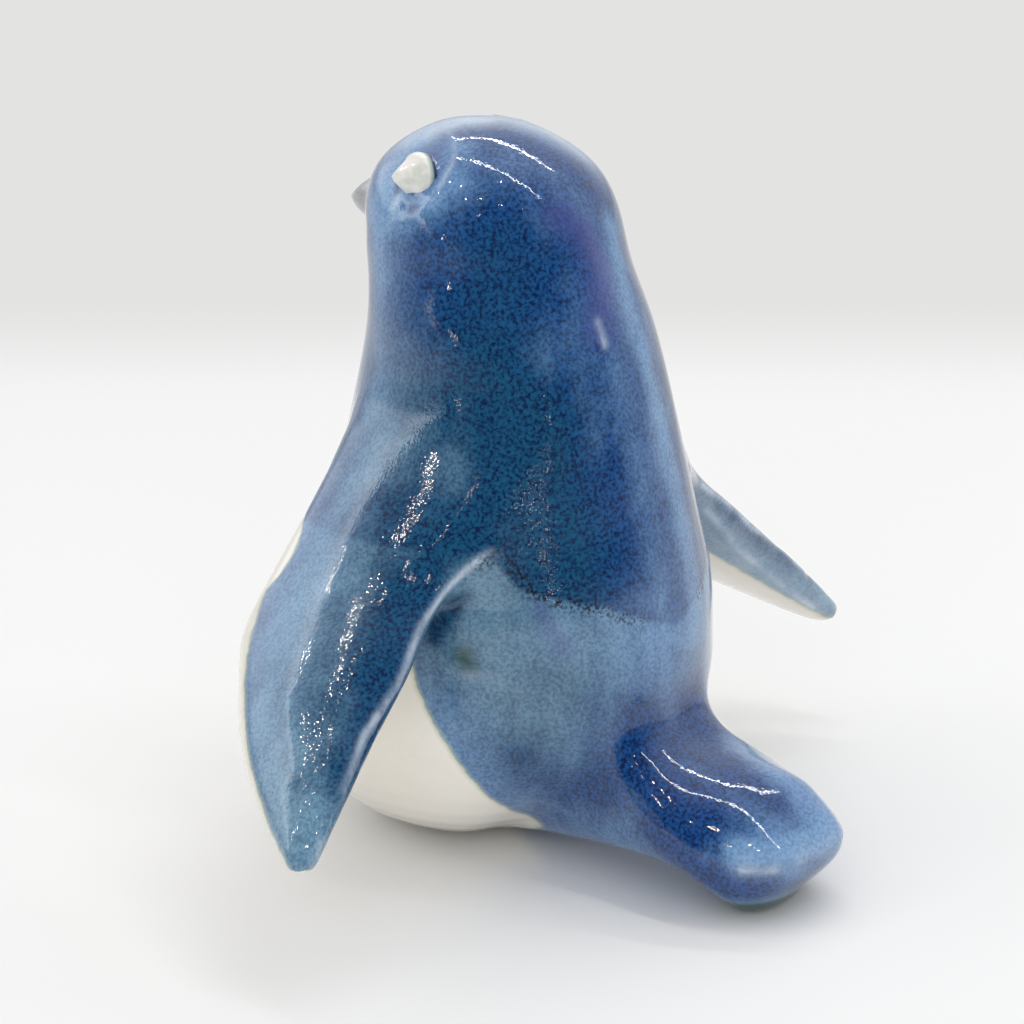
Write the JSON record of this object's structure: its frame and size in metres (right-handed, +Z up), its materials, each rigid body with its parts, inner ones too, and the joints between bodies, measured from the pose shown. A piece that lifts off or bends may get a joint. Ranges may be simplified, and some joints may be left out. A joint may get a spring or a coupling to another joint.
{
  "type": "ceramic penguin sculpture",
  "caption": "Hand-finished glazed ceramic penguin that stands upright on its round belly and tail, with drooping flippers held out from the sides.",
  "frame": {"origin": "in the flat of the foot, on the table the bird stands on", "axes": "+Z up; -Y the way the bird faces; +X towards its left wing tip; its tail lies towards +Y"},
  "size_m": [0.2058, 0.1373, 0.1665],
  "materials": {
    "glazed_ceramic": "glossy mottled blue crackle glaze, cream on the throat and belly"
  },
  "bodies": {
    "root": {"penguin": "glazed_ceramic"}
  },
  "joints": []
}
